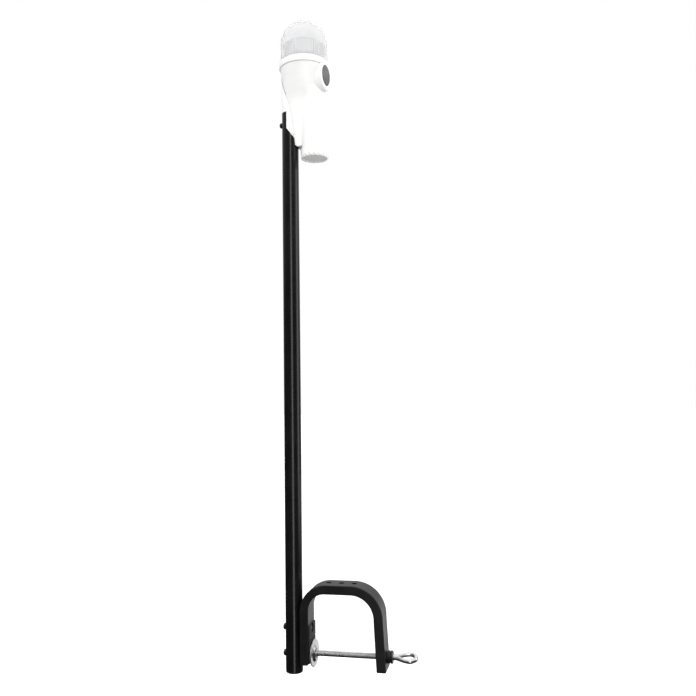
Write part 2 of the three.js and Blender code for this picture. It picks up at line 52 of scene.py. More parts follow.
# Everything below is laid out in millimetres from the foot of the pole, on the pole's axis.
plug_low, plug_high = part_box("pole_end_plug")
FOOT = Vector(((plug_low.x + plug_high.x) / 2, (plug_low.y + plug_high.y) / 2, plug_low.z))


def place(point):
    return FOOT + Vector(point) * MM


# ---------------------------------------------------------------- dimensions, as in the CAD

GAP = 0.3
POLE_R = 9.525
POLE_BORE = 8.275
POLE_LOW = 2.3
POLE_TOP = 632.5
TONGUE_CUT = [(-2.4, 612.5), (7.2, 600.3), (7.8, 594.3), (10.5, 590.6)]
REVEAL = 2.2
SHELF_Z = 592.2
HEAD_SCREW_Z = 619.3
HEAD_X = 17.3
BARREL_X = 29.1
BARREL_R = 15.0
RIM_Z = 682.7
COLLAR_R = 28.8
COLLAR_TOP = 690.6
SCREW_Z = 21.3
SCREW_R = 3.175
BOLT_Z = (20.3, 48.4)
CLAMP_HALF = 13.85
LEG_OUTER_X = 9.85
LEG_INNER_X = 19.45
JAW_FACE_X = 20.95
DISC_PIVOT = (24.7, 0.0, SCREW_Z)
DISC_TURN = math.radians(-4.5)
BUTTON_TURN = math.radians(18)
BUTTON_Z = 670.3
BUTTON = (8.0, 11.7)  # half width and half height
BUTTON_FLANGE = (9.6, 13.3)
BEZEL = (11.2, 17.6)
BEZEL_BACK = 19
BEZEL_SEAT = 24.5
BEZEL_FACE = 30.4
CAP_R = 16.05
CAP_BOTTOM = 576.5
CAP_SCALLOPS = 18
LENS_R = 27.3
LENS_WALL = 2.0
LENS_BOTTOM = 686.2
LENS_SPRING = 713  # where the dome starts
LENS_APEX = 740.8
RIBS = 60
RIB_DEPTH = 1.15
BRIDGE_HOLE_R = 3.1
BRIDGE_HOLE_STEP = 14.2
ABOVE_ALL = 700  # upper end of cutters that have to clear the housing
SHELL = [  # height, centre x, half length, half width, superellipse exponent
    (683, 17.3, 27.7, 27.7, 2),
    (665, 17.1, 24.9, 20.8, 2.1),
    (645, 16.9, 20.9, 13.2, 2.6),
    (622, 18, 18, 9.9, 3.2),
    (591, 19.3, 14.5, 7.6, 3.2),
]
CAVITY = [(646, 17.5, 17.5, 10.2, 2.4), (664, 17.2, 22.2, 18, 2.1), (686, 17.3, 23.9, 23.9, 2)]
SHELL_CENTRE_X = 20.0


# ---------------------------------------------------------------- finishes

def link(tree, output, value):
    tree.links.new(output, value)


def node(tree, kind, **values):
    made = tree.nodes.new(kind)
    for key, value in values.items():
        if hasattr(made, key):
            setattr(made, key, value)
        else:
            made.inputs[key.replace("_", " ")].default_value = value
    return made


def coordinates(tree, stretch=(1, 1, 1)):
    place_node = node(tree, "ShaderNodeTexCoord")
    mapping = node(tree, "ShaderNodeMapping")
    mapping.inputs["Scale"].default_value = stretch
    link(tree, place_node.outputs["Object"], mapping.inputs["Vector"])
    return mapping.outputs["Vector"]


def noise(tree, vector, scale, detail=3.0, roughness=0.55):
    made = node(tree, "ShaderNodeTexNoise", Scale=scale, Detail=detail, Roughness=roughness)
    link(tree, vector, made.inputs["Vector"])
    return made.outputs["Fac"]


def ranged(tree, value, low, high, start=0.3, end=0.7):
    made = node(tree, "ShaderNodeMapRange")
    for name, number in zip(("From Min", "From Max", "To Min", "To Max"), (start, end, low, high)):
        made.inputs[name].default_value = number
    link(tree, value, made.inputs["Value"])
    return made.outputs["Result"]


def mixed(tree, factor, first, second):
    made = node(tree, "ShaderNodeMix", data_type="RGBA")
    # The colour sockets share their names with the number and vector ones.
    for socket in made.inputs:
        if socket.type == "RGBA":
            socket.default_value = (*(first if socket.name == "A" else second), 1)
    link(tree, factor, made.inputs["Factor"])
    return [o for o in made.outputs if o.type == "RGBA"][0]


def bumped(tree, shader, height, strength, distance):
    made = node(tree, "ShaderNodeBump", Strength=strength, Distance=distance)
    link(tree, height, made.inputs["Height"])
    link(tree, made.outputs["Normal"], shader.inputs["Normal"])


HALF = 0.5  # share of the wide patches and of the fine grain in a finish


def finish(name, dark, light, rough, grain, stretch=(1, 1, 1), patch=60, bump=(0.1, 2e-5), **sockets):
    """A material whose colour drifts from dark to light in patches, with its own fine grain."""
    material = bpy.data.materials.new(name)
    material.use_nodes = True
    tree = material.node_tree
    shader = tree.nodes["Principled BSDF"]
    for key, value in sockets.items():
        shader.inputs[key.replace("_", " ")].default_value = value
    wide = noise(tree, coordinates(tree), patch, 2.0)
    fine = noise(tree, coordinates(tree, stretch), grain, 4.0, 0.6)
    blend = node(tree, "ShaderNodeMath", operation="MULTIPLY_ADD")
    blend.inputs[1].default_value = HALF
    link(tree, wide, blend.inputs[0])
    half = node(tree, "ShaderNodeMath", operation="MULTIPLY")
    half.inputs[1].default_value = HALF
    link(tree, fine, half.inputs[0])
    link(tree, half.outputs[0], blend.inputs[2])
    link(tree, mixed(tree, ranged(tree, blend.outputs[0], 0, 1, 0.38, 0.62), dark, light),
         shader.inputs["Base Color"])
    link(tree, ranged(tree, blend.outputs[0], rough[0], rough[1], 0.35, 0.65),
         shader.inputs["Roughness"])
    bumped(tree, shader, fine, *bump)
    return material


LOOKS = {
    "pole_finish": finish("pole_finish", (0.003, 0.003, 0.0035), (0.0055, 0.0055, 0.006), (0.2, 0.28),
                          900, (1, 1, 0.02), 35, (0.06, 1e-5)),
    "clamp_finish": finish("clamp_finish", (0.003, 0.003, 0.0032), (0.006, 0.006, 0.0063), (0.34, 0.44),
                           1600, bump=(0.25, 4e-5), Specular_IOR_Level=0.45),
    "black_plastic": finish("black_plastic", (0.006, 0.006, 0.0065), (0.012, 0.012, 0.013),
                            (0.16, 0.26), 1500, bump=(0.06, 1e-5)),
    "white_plastic": finish("white_plastic", (0.83, 0.83, 0.82), (0.88, 0.88, 0.875), (0.3, 0.4),
                            1300, bump=(0.06, 2e-5)),
    "button_rubber": finish("button_rubber", (0.075, 0.075, 0.078), (0.15, 0.15, 0.152), (0.36, 0.46),
                            2200, bump=(0.3, 4e-5)),
    "seal_rubber": finish("seal_rubber", (0.009, 0.009, 0.009), (0.018, 0.018, 0.018), (0.55, 0.7),
                          2000, bump=(0.3, 4e-5)),
    "stainless": finish("stainless", (0.66, 0.66, 0.67), (0.8, 0.8, 0.81), (0.24, 0.34),
                        700, (0.05, 1, 1), 90, (0.08, 1e-5), Metallic=1.0),
    "dark_steel": finish("dark_steel", (0.09, 0.09, 0.095), (0.14, 0.14, 0.145), (0.3, 0.4),
                         900, bump=(0.1, 1e-5), Metallic=1.0),
    "contact_metal": finish("contact_metal", (0.5, 0.48, 0.42), (0.66, 0.64, 0.57), (0.22, 0.34),
                            900, bump=(0.1, 1e-5), Metallic=1.0),
    "circuit_board": finish("circuit_board", (0.012, 0.09, 0.045), (0.02, 0.14, 0.07), (0.3, 0.45),
                            1200),
    "lamp": finish("lamp", (0.75, 0.6, 0.12), (0.85, 0.72, 0.2), (0.25, 0.35), 1500),
    "cell_sleeve": finish("cell_sleeve", (0.03, 0.05, 0.09), (0.06, 0.09, 0.15), (0.2, 0.32), 700),
    "lead_red": finish("lead_red", (0.28, 0.015, 0.012), (0.38, 0.025, 0.02), (0.4, 0.5), 900),
    "lead_black": finish("lead_black", (0.009, 0.009, 0.009), (0.016, 0.016, 0.016), (0.4, 0.5), 900),
    "clear_lens": finish("clear_lens", (0.965, 0.968, 0.97), (0.985, 0.987, 0.99), (0.015, 0.045),
                         700, patch=50, bump=(0.02, 1e-5), Transmission_Weight=0.88, IOR=1.36),
    "rib_lens": finish("rib_lens", (0.93, 0.935, 0.94), (0.96, 0.965, 0.97), (0.02, 0.05),
                       700, patch=50, bump=(0.02, 1e-5), Transmission_Weight=0.95, IOR=1.49),
}


# ---------------------------------------------------------------- meshes

def skin(rings, ends=(True, True), loop=False):
    """Corners and faces of a skin over closed rings of points; an end is closed by one face."""
    count = len(rings[0])
    corners = [p for ring in rings for p in ring]
    faces = []
    rows = len(rings) if loop else len(rings) - 1
    for i in range(rows):
        low, high = i * count, ((i + 1) % len(rings)) * count
        for k in range(count):
            nxt = (k + 1) % count
            faces.append((low + k, low + nxt, high + nxt, high + k))
    if not loop:
        if ends[0]:
            faces.append(tuple(range(count))[::-1])
        if ends[1]:
            faces.append(tuple(range((len(rings) - 1) * count, len(rings) * count)))
    return corners, faces


def soften(profile, radius, steps=3, closed=False):
    """Rounds the corners of a profile."""
    points = [Vector(p) for p in profile]
    if closed and (points[0] - points[-1]).length < 1e-6:
        points = points[:-1]
    out = []
    for i, point in enumerate(points):
        if not closed and i in (0, len(points) - 1):
            out.append(point)
            continue
        before, after = points[i - 1] - point, points[(i + 1) % len(points)] - point
        turn = math.pi - before.angle(after)
        if turn < 0.2:
            out.append(point)
            continue
        reach = min(radius * math.tan(turn / 2), 0.42 * before.length, 0.42 * after.length)
        a, b = point + before.normalized() * reach, point + after.normalized() * reach
        for s in range(steps + 1):
            t = s / steps
            out.append(a * (1 - t) ** 2 + point * 2 * t * (1 - t) + b * t ** 2)
    return [tuple(p) for p in out]


TIP_R = 0.02  # a closed tip keeps this radius, in mm


def lathe(profile, at=(0, 0), axis="Z", sides=96, closed=False, swell=None):
    """A body turned about an upright axis, or one along X, from (radius, height) points."""
    def spun(radius, height, k):
        angle = 2 * math.pi * k / sides
        r = radius + (swell(radius, height, angle) if swell else 0)
        u, v = r * math.cos(angle), r * math.sin(angle)
        return (at[0] + u, at[1] + v, height) if axis == "Z" else (height, at[0] + u, at[1] + v)
    rings = [[spun(max(r, TIP_R), h, k) for k in range(sides)] for r, h in profile]
    return skin(rings, loop=closed)


def prism(outline, low, high):
    """An (x, z) outline pushed out along Y from low to high."""
    return skin([[(x, level, z) for x, z in outline] for level in (low, high)])


def tidy_normals(mesh):
    work = bmesh.new()
    work.from_mesh(mesh)
    bmesh.ops.remove_doubles(work, verts=work.verts, dist=1e-7)
    bmesh.ops.recalc_face_normals(work, faces=work.faces)
    work.to_mesh(mesh)
    work.free()


def raw(shape, name="cutter"):
    """An object of a shape's corners and faces, in the row frame, in metres."""
    corners, faces = shape
    mesh = bpy.data.meshes.new(name)
    mesh.from_pydata([place(c) for c in corners], [], faces)
    tidy_normals(mesh)
    made = bpy.data.objects.new(name, mesh)
    bpy.context.scene.collection.objects.link(made)
    return made


def applied(made):
    """Makes an object's modifiers part of its mesh."""
    graph = bpy.context.evaluated_depsgraph_get()
    mesh = bpy.data.meshes.new_from_object(made.evaluated_get(graph))
    made.modifiers.clear()
    made.data = mesh
    return made


def combine(made, others, operation, crossed=False):
    """Cuts other objects from one, joins them to it or keeps what they share, and deletes them."""
    for other in others:
        change = made.modifiers.new("shape", "BOOLEAN")
        change.operation = operation
        change.solver = "EXACT"
        change.use_self = crossed
        change.object = other
        applied(made)
        bpy.data.objects.remove(other)
    return made


def cut(made, *shapes):
    return combine(made, [raw(s) if isinstance(s, tuple) else s for s in shapes], "DIFFERENCE")


def join(made, *shapes):
    return combine(made, [raw(s) if isinstance(s, tuple) else s for s in shapes], "UNION")


def common(made, *shapes):
    return combine(made, [raw(s) if isinstance(s, tuple) else s for s in shapes], "INTERSECT")


def bevel(made, width, segments=3, angle=35):
    change = made.modifiers.new("soft_edges", "BEVEL")
    change.width = width * MM
    change.segments = segments
    change.limit_method = "ANGLE"
    change.angle_limit = math.radians(angle)
    change.use_clamp_overlap = True
    return applied(made)


def done(made, name, body, slot, *nodes, look=None, sharp=32):
    """Names a finished piece, shades it, gives it the named look or else its slot's finish, ties it to its
    body and hides the CAD nodes it stands for.
    """
    made.name = name
    made.data.name = name
    tidy_normals(made.data)
    made.data.polygons.foreach_set("use_smooth", [True] * len(made.data.polygons))
    made.data.set_sharp_from_angle(angle=math.radians(sharp))
    weighted = made.modifiers.new("weighted", "WEIGHTED_NORMAL")
    weighted.keep_sharp = True
    made.data.materials.clear()
    made.data.materials.append(LOOKS[look or slot])
    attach(made, body)
    if nodes:
        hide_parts(*nodes)
    return made


def rod_along(points, radius, sides=20):
    """A round rod swept along points, without twist."""
    path = [Vector(p) for p in points]
    rings = []
    normal = None
    for i, point in enumerate(path):
        heading = (path[min(i + 1, len(path) - 1)] - path[max(i - 1, 0)]).normalized()
        if normal is None:
            normal = heading.orthogonal().normalized()
        normal = (normal - heading * normal.dot(heading)).normalized()
        side = heading.cross(normal)
        rings.append([
            tuple(point + radius * (normal * math.cos(2 * math.pi * k / sides)
                                    + side * math.sin(2 * math.pi * k / sides)))
            for k in range(sides)])
    return skin(rings)


def smooth_path(points, steps):
    """Points along a Catmull-Rom curve, steps to each span."""
    rows = np.array(points, float)
    rows = np.vstack([2 * rows[0] - rows[1], rows, 2 * rows[-1] - rows[-2]])
    out = []
    for i in range(1, len(rows) - 2):
        p0, p1, p2, p3 = rows[i - 1:i + 3]
        for s in range(steps):
            t = s / steps
            m0, m1 = (p2 - p0) / 2, (p3 - p1) / 2
            out.append((2 * t ** 3 - 3 * t ** 2 + 1) * p1 + (t ** 3 - 2 * t ** 2 + t) * m0
                       + (3 * t ** 2 - 2 * t ** 3) * p2 + (t ** 3 - t ** 2) * m1)
    out.append(rows[-2])
    return np.array(out)


def section_at(sections, heights):
    """Centre x, half length, half width and exponent at each height."""
    fine = smooth_path(sections, 60)
    fine = fine[np.argsort(fine[:, 0])]
    return [np.interp(heights, fine[:, 0], fine[:, k]) for k in range(1, 5)]


def reach(centre, half_x, half_y, power, angles):
    """Distance from the housing's centre line to a superellipse, at each angle."""
    low, high = np.zeros_like(angles), np.full_like(angles, 80.0)
    for _ in range(42):
        middle = (low + high) / 2
        x = np.abs((SHELL_CENTRE_X + middle * np.cos(angles) - centre) / half_x)
        y = np.abs(middle * np.sin(angles) / half_y)
        outside = x ** power + y ** power > 1
        high = np.where(outside, middle, high)
        low = np.where(outside, low, middle)
    return (low + high) / 2


def housing_skin(sections, low, high, rows, grow=0.0, barrel=0.0, blend=1.6, sides=224):
    """The housing's outside: its lofted shell, run into the battery barrel with a small fillet."""
    angles = np.linspace(0, 2 * np.pi, sides, endpoint=False)
    heights = np.linspace(low, high, rows)
    rings = []
    for z, x, a, b, n in zip(heights, *section_at(sections, heights)):
        shell = reach(x, a + grow, b + grow, n, angles)
        if barrel:
            round_part = reach(BARREL_X, barrel + grow, barrel + grow, 2, angles)
            near = np.maximum(blend - np.abs(shell - round_part), 0) / blend
            shell = np.maximum(shell, round_part) + near ** 2 * blend / 4
        rings.append([(SHELL_CENTRE_X + r * math.cos(t), r * math.sin(t), z)
                      for r, t in zip(shell, angles)])
    return skin(rings)


def post(radius, low, high, x=0.0, y=0.0, sides=96):
    return lathe([(radius, low), (radius, high)], (x, y), sides=sides)


def bar(radius, left, right, z, y=0.0, sides=48):
    return lathe([(radius, left), (radius, right)], (y, z), "X", sides)


def in_front_of_cut(clearance):
    edge = [(x + clearance, z + clearance) for x, z in TONGUE_CUT]
    return prism([(edge[0][0], ABOVE_ALL), *edge, (60, edge[-1][1]), (60, ABOVE_ALL)], -40, 40)


def box(low, high):
    (x0, y0, z0), (x1, y1, z1) = low, high
    return prism([(x0, z0), (x1, z0), (x1, z1), (x0, z1)], y0, y1)


# ---------------------------------------------------------------- pole

SCREW_HOLE = bar(1.6, -14, 4, HEAD_SCREW_Z)  # through the saddle, behind the pole's own hole
pole = raw(lathe([(POLE_BORE, POLE_LOW), (POLE_R, POLE_LOW), (POLE_R, POLE_TOP), (POLE_BORE, POLE_TOP)],
                 sides=128, closed=True))
cut(pole, in_front_of_cut(0), bar(1.9, -14, 8, HEAD_SCREW_Z), *[bar(2.3, -14, 14, z) for z in BOLT_Z])
bevel(pole, 0.22, 2)
done(pole, "pole", "root", "pole_finish", "pole_tube")

plug = raw(lathe(soften([
    (0, 0), (8.7, 0), (9.42, 0.8), (9.42, 2), (7.97, 2), (7.97, 13), (6.7, 13.6), (6.7, 4), (0, 4)],
    0.5), sides=96))
done(plug, "pole_plug", "root", "black_plastic", "pole_end_plug")


# ---------------------------------------------------------------- clamp

def arc(x, z, radius, start, end, steps=40):
    return [(x + radius * math.cos(start + (end - start) * i / steps),
             z + radius * math.sin(start + (end - start) * i / steps)) for i in range(steps + 1)]


SPLAY = math.radians(2.4)
clamp_outline = [
    (LEG_OUTER_X + 1.5, 11.3), (LEG_OUTER_X, 12.8),
    *arc(LEG_OUTER_X + 29.85, 67.55, 29.85, math.pi, math.pi / 2),
    *arc(67, 62.7, 34.7, math.pi / 2, -SPLAY),
    (104.4, 9), (103.4, 8), (94.7, 8), (93.9, 8.8),
    *arc(66.4, 62.3, 25.2, -SPLAY, math.pi / 2),
    *arc(LEG_INNER_X + 18.1, 69.4, 18.1, math.pi / 2, math.pi),
    (LEG_INNER_X, 12.8), (LEG_INNER_X - 1.5, 11.3)]
clamp = raw(prism(clamp_outline, -CLAMP_HALF, CLAMP_HALF))
bevel(clamp, 0.9, 4, 50)
cut(clamp,
    *[bar(2.3, 5, 22, z) for z in BOLT_Z],
    *[bar(4.39, 15.7, 21, z, sides=6) for z in BOLT_Z],
    bar(5.3, 85, 112, SCREW_Z, sides=64),
    *[post(BRIDGE_HOLE_R, 80, 105, 40.1 + BRIDGE_HOLE_STEP * i, sides=48) for i in range(3)])
bevel(clamp, 0.12, 2, 60)
done(clamp, "clamp", "root", "clamp_finish", "clamp_frame")

pad = raw(prism([
    (19.75, 12.8), (JAW_FACE_X, 13.4), (JAW_FACE_X, 36.6), (20.45, 36.6), (20.45, 37.6),
    (JAW_FACE_X, 37.6), (JAW_FACE_X, 52.6), (19.75, 53.2)], -12.95, 12.95))
cut(pad, *[bar(4.9, 15, 25, z) for z in BOLT_Z])
bevel(pad, 0.25, 2)
done(pad, "clamp_pad", "root", "seal_rubber", "clamp_face_pad")


def cross_recess(z, left, depth, size, width):
    """Two crossed slots in a screw's head, which faces -X."""
    bars = []
    for half_y, half_z in ((size, width), (width, size)):
        bars.append(box((left - 1, -half_y, z - half_z), (left + depth, half_y, z + half_z)))
    return bars


for z, place_name in zip(BOLT_Z, ("lower", "upper")):
    bolt = raw(lathe(soften([
        (0, -12.12), (2.0, -12.1), (3.1, -11.5), (3.55, -10.6), (3.6, -9.85), (2, -9.85),
        (2, 19.6), (1.6, 20.1), (0, 20.1)], 0.35), (0, z), "X", 48))
    cut(bolt, *cross_recess(z, -12.12, 1.3, 1.9, 0.42))
    bevel(bolt, 0.08, 2, 50)
    done(bolt, f"bolt_{place_name}", "root", "stainless", f"pole_bolt_{place_name}", look="dark_steel")
    nut = raw(bar(4.04, 16, 19.2, z, sides=6))
    common(nut, lathe([(3.4, 15.9), (4.1, 16.35), (4.1, 18.85), (3.4, 19.3)], (0, z), "X", 48))
    cut(nut, bar(2.3, 15, 20, z, sides=32))
    bevel(nut, 0.12, 2, 50)
    done(nut, f"nut_{place_name}", "root", "stainless", f"pole_nut_{place_name}")

bushing = raw(lathe(soften([
    (3.48, 93.9), (5, 93.9), (5, 104.45), (6.8, 104.45), (6.8, 106.6), (6.1, 106.9), (6.1, 107.6),
    (6.8, 107.9), (6.8, 109.8), (6.2, 110.3), (3.48, 110.3)], 0.35, closed=True),
    (0, SCREW_Z), "X", 72, closed=True))
done(bushing, "bushing", "root", "black_plastic", "thread_bushing")


# ---------------------------------------------------------------- clamp screw and jaw disc

THREAD_PITCH = 1.27
THREAD_DEPTH = 0.28


def threaded_bar(left, right, radius, depth, pitch, z, per_turn=10, sides=28):
    """A bar along X with a helical thread that fades out at both ends."""
    rings = []
    steps = int((right - left) / pitch * per_turn)
    for i in range(steps + 1):
        x = left + (right - left) * i / steps
        fade = min(1, (x - left) / 1.5, (right - x) / 1.5)
        ring = []
        for k in range(sides):
            phase = (x / pitch + k / sides) % 1
            groove = 1 - min(1, abs(phase - 0.5) * 2.6)
            r = radius - depth * fade * groove
            angle = 2 * math.pi * k / sides
            ring.append((x, r * math.cos(angle), z + r * math.sin(angle)))
        rings.append(ring)
    return skin(rings)


EYE_START = 112.5
EYE_TWIST = math.radians(-15)
loop_length = 137.4 - 2.35 - EYE_START
loop_reach = 9 - 2.35
half = [(-2, 0.9), (0.12 * loop_length, 2), (0.45 * loop_length, loop_reach * 0.82),
        (0.74 * loop_length, loop_reach), (0.94 * loop_length, loop_reach * 0.55)]
loop = [*half, (loop_length, 0), *[(u, -v) for u, v in reversed(half)]]
eye_path = smooth_path([
    (EYE_START + u, v * math.cos(EYE_TWIST), SCREW_Z - v * math.sin(EYE_TWIST)) for u, v in loop], 12)

screw = raw(rod_along(eye_path, 2.35, 28))
combine(screw, [raw(s) for s in (
     threaded_bar(23.6, 110.6, SCREW_R, THREAD_DEPTH, THREAD_PITCH, SCREW_Z),
     lathe(soften([(0, 22.6), (4.2, 22.6), (4.8, 22.9), (4.8, 23.4), (4.5, 23.7), (3.1, 23.75), (0, 23.75)],
                  0.15), (0, SCREW_Z), "X", 48),
     lathe(soften([(0, 110), (SCREW_R, 110), (SCREW_R, 111.5), (2.7, 114), (2.2, 116), (0, 116)], 0.6),
           (0, SCREW_Z), "X", 48))], "UNION", crossed=True)
done(screw, "clamp_screw_eye", "clamp_screw", "stainless", "clamp_screw", sharp=50)

disc = raw(lathe(soften([
    (3.9, 24.1), (5.9, 24.1), (8.8, 22.4), (10, 22.2), (14.2, 22.2), (14.7, 22.6), (14.7, 23.2),
    (14.2, 23.5), (9.2, 23.55), (6.3, 25.3), (3.9, 25.3)], 0.5, closed=True),
    (0, SCREW_Z), "X", 128, closed=True))
pivot = place(DISC_PIVOT)
disc.data.transform(Matrix.Translation(pivot) @ Matrix.Rotation(DISC_TURN, 4, "Z")
                    @ Matrix.Translation(-pivot))
done(disc, "jaw_disc", "swivel_pad", "stainless", "swivel_pad")

ring = raw(lathe(soften([(3.48, 25.75), (5.2, 25.75), (5.2, 26.75), (3.48, 26.75)], 0.2, closed=True),
                 (0, SCREW_Z), "X", 64, closed=True))
cut(ring, box((25, -0.6, SCREW_Z - 7), (27.5, 0.6, SCREW_Z - 2)))
done(ring, "retaining_ring", "clamp_carriage", "stainless", "pad_retainer")


# ---------------------------------------------------------------- head: housing and saddle

def oval(width, height, distance, sides=96):
    """An oval ring of points facing the button's heading, at a distance from the lens's axis."""
    c, s = math.cos(BUTTON_TURN), math.sin(BUTTON_TURN)
    out = []
    for k in range(sides):
        t = 2 * math.pi * k / sides
        u, w = width * math.cos(t), height * math.sin(t)
        out.append((HEAD_X + c * distance + s * u, -s * distance + c * u, BUTTON_Z + w))
    return out


def oval_block(width, height, low, high, sides=96):
    return skin([oval(width, height, low, sides), oval(width, height, high, sides)])


def neck_thread(radius, height, angle):
    """The neck's thread, 3 mm a turn, above its plain lower end."""
    if radius < 13.5 or not 581.4 < height < 587:
        return 0
    phase = ((height - 580) / 3 + angle / (2 * math.pi)) % 1
    return -0.4 * max(0, 1 - abs(phase - 0.5) * 4)


NECK_R = 13.6
neck_profile = [(0, 580.2), (13.0, 580.2), *[(NECK_R, 580.8 + 0.2 * i) for i in range(40)],
                (NECK_R, 600), (0, 600)]
housing = raw(housing_skin(SHELL, 591, RIM_Z, 118, barrel=BARREL_R))
join(housing,
     lathe(soften([(0, 588), (BARREL_R, 588), (BARREL_R, 605), (0, 605)], 0.5), (BARREL_X, 0), sides=128),
     lathe(neck_profile, (BARREL_X, 0), sides=96, swell=neck_thread))
cut(housing, post(POLE_R + 2, 570, SHELF_Z + 0.2), oval_block(11.3, 17.7, 18.7, 40))
bevel(housing, 0.45, 3, 50)
join(housing, lathe([(22, RIM_Z - 1), (25.9, RIM_Z - 1), (25.9, 685), (22, 685)], (HEAD_X, 0), closed=True))
pole_room = cut(raw(post(POLE_R + GAP, 560, ABOVE_ALL)), in_front_of_cut(GAP))
cut(housing,
    housing_skin(CAVITY, 646, 686, 24, sides=96),
    post(12.2, 575, 640, BARREL_X), post(1.4, 639, 660, BARREL_X - 5, 3, 24),
    post(1.4, 639, 660, BARREL_X - 5, -3, 24),
    oval_block(10.2, 13.9, 14, 40), post(POLE_R + GAP, 560, SHELF_Z), pole_room, SCREW_HOLE)
done(housing, "housing", "root", "white_plastic", "head_housing")

CORE_R = POLE_R - 0.35
core = raw(post(CORE_R, 585, RIM_Z - GAP, sides=128))
cut(core, post(40, 585, SHELF_Z + 0.2, 45))
join(core, post(POLE_R + 0.35, 600, RIM_Z - GAP, sides=128))
outside = join(raw(in_front_of_cut(GAP)), post(20, POLE_TOP + GAP, ABOVE_ALL))
common(core, outside)
strip = raw(lathe([(CORE_R, 580), (14, 580), (14, ABOVE_ALL), (CORE_R, ABOVE_ALL)],
                  sides=128, closed=True))
cut(strip, prism([(-20, 656), (-3.5, 636.5), (-2.4 + REVEAL, 634), (-2.4 + REVEAL, 613.6), (14, 593.2),
                  (14, 705), (-20, 705)], -30, 30))
cut(core, strip)
cut(core, housing_skin(SHELL, 590.8, RIM_Z, 110, grow=0.3, barrel=BARREL_R, sides=160))
bevel(core, 0.3, 2, 40)
plug_core = cut(raw(post(POLE_BORE - GAP, 585, 640)), in_front_of_cut(0))
join(core, plug_core)
cut(core, SCREW_HOLE)
done(core, "saddle", "root", "white_plastic", "mount_saddle")

head_screw = raw(lathe(soften([
    (0, -12.5), (1.9, -12.4), (2.9, -11.6), (3.1, -10.4), (3.1, -9.825), (1.3, -9.825), (1.3, 2), (0, 3.2)],
    0.3), (0, HEAD_SCREW_Z), "X", 48))
cut(head_screw, *cross_recess(HEAD_SCREW_Z, -12.5, 1.2, 1.6, 0.36))
bevel(head_screw, 0.07, 2, 50)
done(head_screw, "housing_screw", "root", "stainless", "head_screw", look="dark_steel")


# ---------------------------------------------------------------- head: bezel and button

def oval_skin(stations):
    return skin([oval(width, height, distance, 112) for width, height, distance in stations])


bezel = raw(oval_skin([
    (BEZEL[0] - inset, BEZEL[1] - inset, distance)
    for inset, distance in soften([(0, BEZEL_BACK), (0, BEZEL_FACE), (3.4, 30)], 1.1, 4)]))
cut(bezel, oval_block(BUTTON[0] + 0.5, BUTTON[1] + 0.5, 10, 40),
    oval_block(BUTTON_FLANGE[0] + GAP, BUTTON_FLANGE[1] + GAP, 10, BEZEL_SEAT),
    post(26.2, 681.4, ABOVE_ALL, HEAD_X), post(COLLAR_R + GAP, RIM_Z, ABOVE_ALL, HEAD_X))
bevel(bezel, 0.45, 3, 50)
done(bezel, "bezel", "root", "white_plastic", "button_bezel")

crown = [(BUTTON[0] * math.cos(t), BUTTON[1] * math.cos(t), 30.1 + 1.4 * math.sin(t))
         for t in np.linspace(0, math.pi / 2 * 0.985, 14)]
button = raw(oval_skin([
    (*BUTTON_FLANGE, 23), (*BUTTON_FLANGE, 24.2), (*BUTTON, 24.2), (*BUTTON, 29.6), *crown]))
join(button, oval_block(2, 2, 21.4, 24, 48))
bevel(button, 0.15, 2, 50)
done(button, "push_button", "button", "button_rubber", "button")


# ---------------------------------------------------------------- battery cap

cap = raw(lathe(soften([
    (0, 577.3), (13, 577.3), (13.6, CAP_BOTTOM), (15.45, CAP_BOTTOM), (CAP_R, 577.1), (CAP_R, 587.3),
    (15.65, 587.7), (15.3, 587.7), (15.3, 585.4), (13.95, 585.4), (13.95, 579.4), (0, 579.4)], 0.35),
    (BARREL_X, 0), sides=180))
scallop_turns = [2 * math.pi * i / CAP_SCALLOPS for i in range(CAP_SCALLOPS)]
cut(cap, *[lathe([(3, 575.5), (2.9, 576.4), (1.1, 579.6), (0.2, 580)],
                 (BARREL_X + 17 * math.cos(turn), 17 * math.sin(turn)), sides=32)
           for turn in scallop_turns])
bevel(cap, 0.16, 2, 45)
done(cap, "cap", "battery_cap", "white_plastic", "battery_cap")


# ---------------------------------------------------------------- lens

collar = raw(lathe(soften([
    (26.2, 683), (28.2, 683), (COLLAR_R, 683.6), (COLLAR_R, 689.9), (28.2, COLLAR_TOP),
    (27.6, COLLAR_TOP), (27.6, 684.4), (26.2, 684.4)], 0.35, closed=True),
    (HEAD_X, 0), sides=160, closed=True))
done(collar, "collar", "root", "white_plastic", "lens_collar")


def dome(radius, apex, start, end, steps):
    turns = [start + (end - start) * i / steps for i in range(steps + 1)]
    return [(radius * math.cos(turn), LENS_SPRING + (apex - LENS_SPRING) * math.sin(turn)) for turn in turns]


inner_r = LENS_R - LENS_WALL
lens_profile = [
    *dome(inner_r, LENS_APEX - LENS_WALL, math.pi / 2, 0, 28), (inner_r, 700), (inner_r, LENS_BOTTOM),
    (LENS_R, LENS_BOTTOM), (LENS_R, 700), *dome(LENS_R, LENS_APEX, 0, math.pi / 2, 28)]
lens = raw(lathe(lens_profile, (HEAD_X, 0), sides=144))
done(lens, "lens", "root", "clear_lens", "lens_dome", sharp=60)



def rib(radius, _height, angle):
    return -RIB_DEPTH * (1 - abs(math.sin(RIBS * angle / 2))) if radius > 24 else 0


prisms = raw(lathe([
    (23.0, 687.6), (24.4, 687.6), *[(24.4, 687.9 + 2.1 * i) for i in range(12)], (24.4, 711), (23.0, 711)],
    (HEAD_X, 0), sides=RIBS * 6, closed=True, swell=rib))
done(prisms, "prism_band", "root", "clear_lens", "prism_ring", look="rib_lens", sharp=70)


# ---------------------------------------------------------------- CAD nodes that stay

